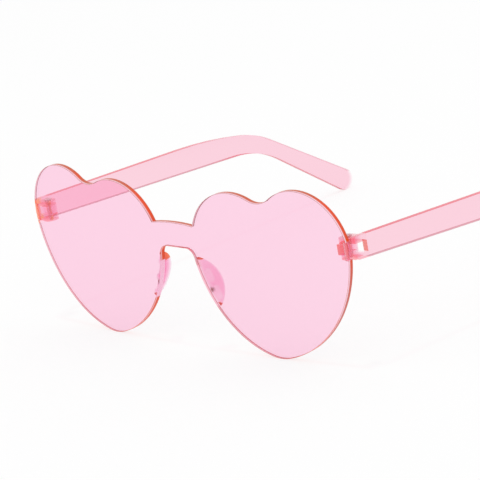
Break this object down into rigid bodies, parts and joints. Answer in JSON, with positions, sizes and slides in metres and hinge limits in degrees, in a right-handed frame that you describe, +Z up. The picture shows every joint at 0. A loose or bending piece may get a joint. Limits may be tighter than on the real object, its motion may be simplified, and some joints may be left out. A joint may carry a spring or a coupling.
{
  "type": "sunglasses",
  "caption": "Rimless sunglasses with a bent one-piece lens cut as two hearts, fork hinges, folding temples with ear bends, and nose pads.",
  "frame": {"origin": "on the surface that the sunglasses stand on, below the middle of their box, as they rest open on the two heart tips and the two ear tips", "axes": "+X to the wearer's left, -Y the way the wearer looks, +Z up"},
  "size_m": [0.1604, 0.147, 0.0539],
  "materials": {
    "lens_plastic": "clear pink tinted sheet, polished",
    "temple_plastic": "clear pink moulded plastic, polished",
    "hinge_plastic": "clear deeper pink moulded plastic",
    "pad_plastic": "soft clear pink plastic, satin",
    "screw_steel": "plain steel"
  },
  "bodies": {
    "front": {"lens": "lens_plastic", "end_piece_left": "hinge_plastic", "end_piece_right": "hinge_plastic", "nose_pad_left": "pad_plastic", "nose_pad_right": "pad_plastic"},
    "left_temple": {"temple_left": "temple_plastic", "hinge_screw_left": "screw_steel"},
    "right_temple": {"temple_right": "temple_plastic", "hinge_screw_right": "screw_steel"}
  },
  "joints": [
    {"name": "left_fold", "type": "hinge", "parent": "front", "child": "left_temple", "pos_m": [0.06959, -0.06491, 0.0362], "axis": [0, 0, 1], "range_deg": [0, 92]},
    {"name": "right_fold", "type": "hinge", "parent": "front", "child": "right_temple", "pos_m": [-0.06959, -0.06491, 0.0362], "axis": [0, 0, -1], "range_deg": [0, 87]}
  ]
}
